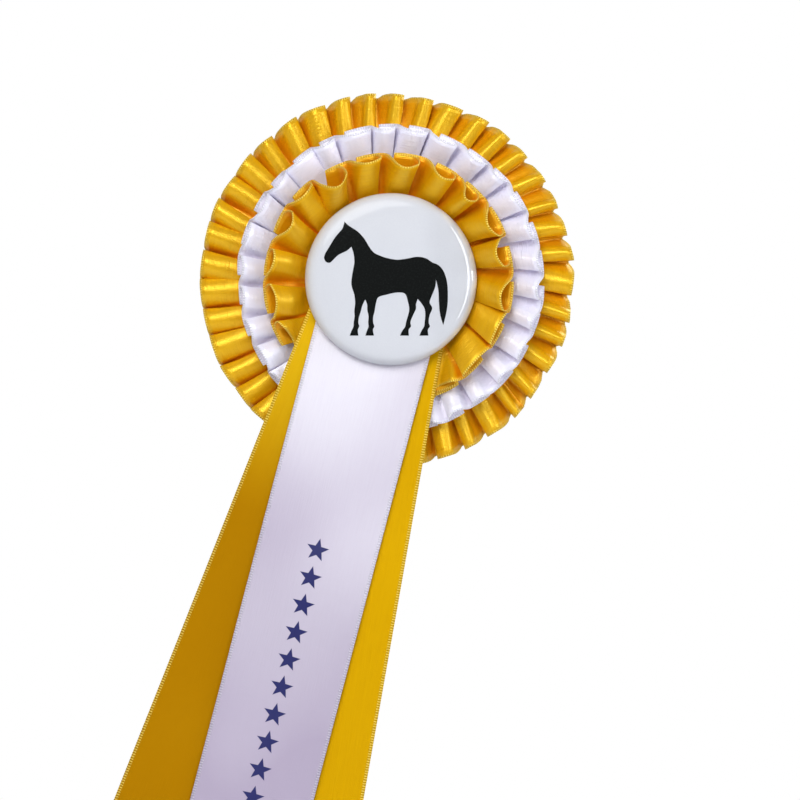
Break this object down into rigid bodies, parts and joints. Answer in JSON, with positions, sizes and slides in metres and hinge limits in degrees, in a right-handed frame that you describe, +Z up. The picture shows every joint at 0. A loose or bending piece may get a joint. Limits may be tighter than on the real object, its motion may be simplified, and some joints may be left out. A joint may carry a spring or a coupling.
{
  "type": "award ribbon",
  "caption": "Round rosette of pleated satin ribbon in three tiers with a domed button badge, three hanging tails and a bar brooch pin behind.",
  "frame": {"origin": "centre of the backing card's rear face", "axes": "+Z up with the tails hanging along -Z, +Y out of the back towards the wearer, -Y the face that is seen, +X to the right seen from the front"},
  "size_m": [0.1266, 0.0294, 0.3638],
  "materials": {
    "gold_satin": "satin",
    "white_satin": "satin",
    "thread": "matte",
    "card": "matte",
    "steel": "bright nickel",
    "printed_paper": "printed",
    "clear_film": "clear gloss",
    "foam": "matte"
  },
  "bodies": {
    "rosette": {"outer_ruffle": "gold_satin", "inner_ruffle": "gold_satin", "middle_ruffle": "white_satin", "outer_thread": "thread", "middle_thread": "thread", "inner_thread": "thread", "outer_card_disc": "card", "middle_card_disc": "card", "inner_card_disc": "card", "backing_card": "card", "white_tail_head": "white_satin", "gold_tail_left_head": "gold_satin", "gold_tail_right_head": "gold_satin", "tail_staple": "steel", "badge_shell": "steel", "badge_print": "printed_paper", "badge_film": "clear_film", "badge_back_plate": "steel", "badge_foam_pad": "foam", "pin_foam_tape": "foam", "pin_bar": "steel", "hinge_pin": "steel"},
    "white_tail": {"white_tail": "white_satin"},
    "gold_tail_left": {"gold_tail_left": "gold_satin"},
    "gold_tail_right": {"gold_tail_right": "gold_satin"},
    "needle": {"pin_needle": "steel"},
    "catch": {"catch_rotor": "steel"}
  },
  "joints": [
    {"name": "gold_tail_right_lift", "type": "hinge", "parent": "rosette", "child": "gold_tail_right", "pos_m": [0.00568, -0.01311, -0.0381], "axis": [-0.9966, 0, -0.0819], "range_deg": [0, 20]},
    {"name": "gold_tail_left_lift", "type": "hinge", "parent": "rosette", "child": "gold_tail_left", "pos_m": [-0.00488, -0.01362, -0.0333], "axis": [-0.9928, 0, 0.1201], "range_deg": [0, 30]},
    {"name": "white_tail_lift", "type": "hinge", "parent": "rosette", "child": "white_tail", "pos_m": [0.0005, -0.01424, -0.0306], "axis": [-1, 0, 0], "range_deg": [0, 40]},
    {"name": "needle_hinge", "type": "hinge", "parent": "rosette", "child": "needle", "pos_m": [-0.017, 0.0051, 0.014], "axis": [0, 0, 1], "range_deg": [0, 50]},
    {"name": "catch_turn", "type": "hinge", "parent": "rosette", "child": "catch", "pos_m": [0.0166, 0.0051, 0.014], "axis": [1, 0, 0], "range_deg": [0, 90]}
  ],
  "couplings": [
    {"joint": "gold_tail_left_lift", "follows": "white_tail_lift", "ratio": 0.75},
    {"joint": "gold_tail_right_lift", "follows": "white_tail_lift", "ratio": 0.5}
  ]
}
